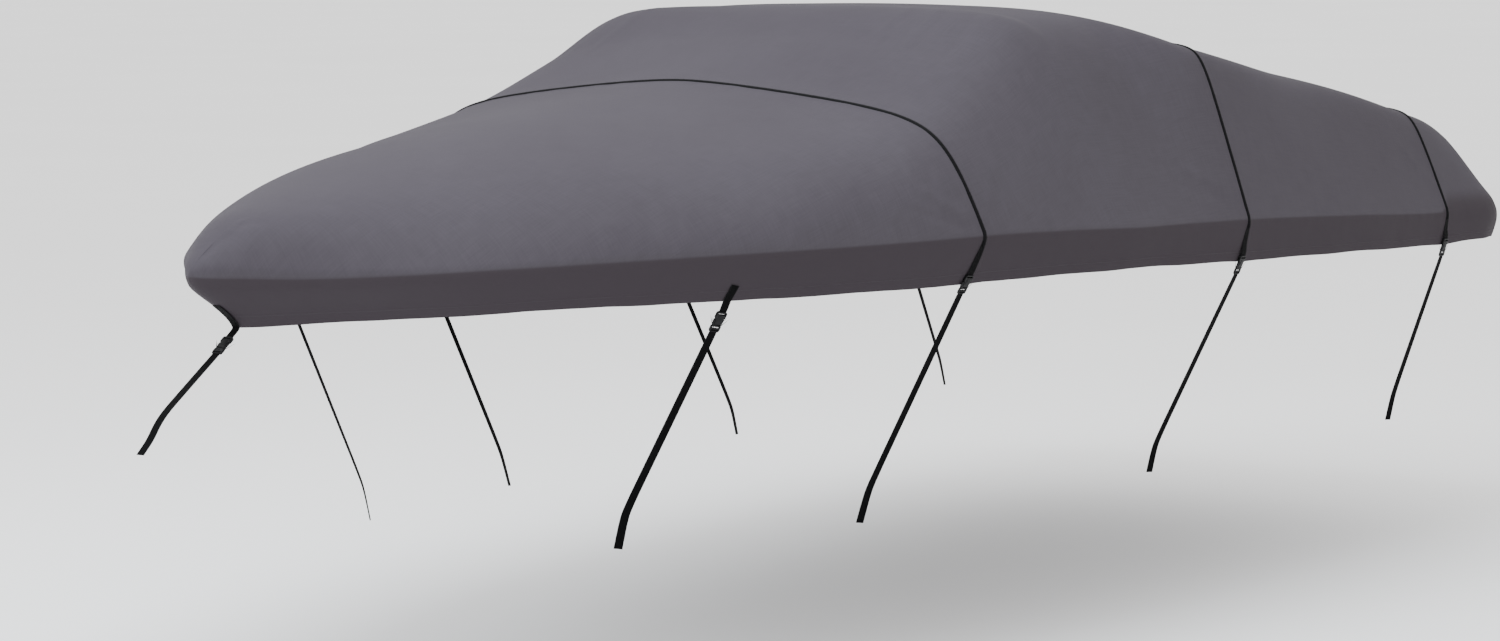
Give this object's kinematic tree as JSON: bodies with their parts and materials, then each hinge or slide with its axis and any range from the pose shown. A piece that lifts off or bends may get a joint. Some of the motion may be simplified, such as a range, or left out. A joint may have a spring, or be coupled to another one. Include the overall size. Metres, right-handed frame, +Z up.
{
  "type": "fitted boat cover",
  "caption": "Fitted charcoal cover for a trailered runabout boat, hollow and open below, with corded seams, a turned-under skirt, webbing tie-down straps and release buckles.",
  "frame": {"origin": "underside of the cloth on the centreline where the top of the boat's windshield holds it up", "axes": "+X to port, -Y towards the bow, +Z up"},
  "size_m": [2.272, 5.5795, 1.4654],
  "materials": {
    "cloth": "matt charcoal grey coated plain weave",
    "piping": "black cloth-covered cord",
    "webbing": "black woven webbing",
    "buckle": "satin black moulded"
  },
  "bodies": {
    "root": {"panel_bow": "cloth", "panel_windshield": "cloth", "panel_cockpit": "cloth", "panel_stern": "cloth", "piping_windshield": "piping", "piping_cockpit": "piping", "piping_stern": "piping", "tab_fore_port": "webbing", "tab_fore_starboard": "webbing", "tab_mid_port": "webbing", "tab_mid_starboard": "webbing", "tab_aft_port": "webbing", "tab_aft_starboard": "webbing", "tab_stern_port": "webbing", "tab_stern_starboard": "webbing", "tab_nose": "webbing", "buckle_fore_port": "buckle", "buckle_fore_starboard": "buckle", "buckle_mid_port": "buckle", "buckle_mid_starboard": "buckle", "buckle_aft_port": "buckle", "buckle_aft_starboard": "buckle", "buckle_stern_port": "buckle", "buckle_stern_starboard": "buckle", "buckle_nose": "buckle", "strap_fore_port": "webbing", "strap_fore_starboard": "webbing", "strap_mid_port": "webbing", "strap_mid_starboard": "webbing", "strap_aft_port": "webbing", "strap_aft_starboard": "webbing", "strap_stern_port": "webbing", "strap_stern_starboard": "webbing", "strap_nose": "webbing"}
  },
  "joints": []
}
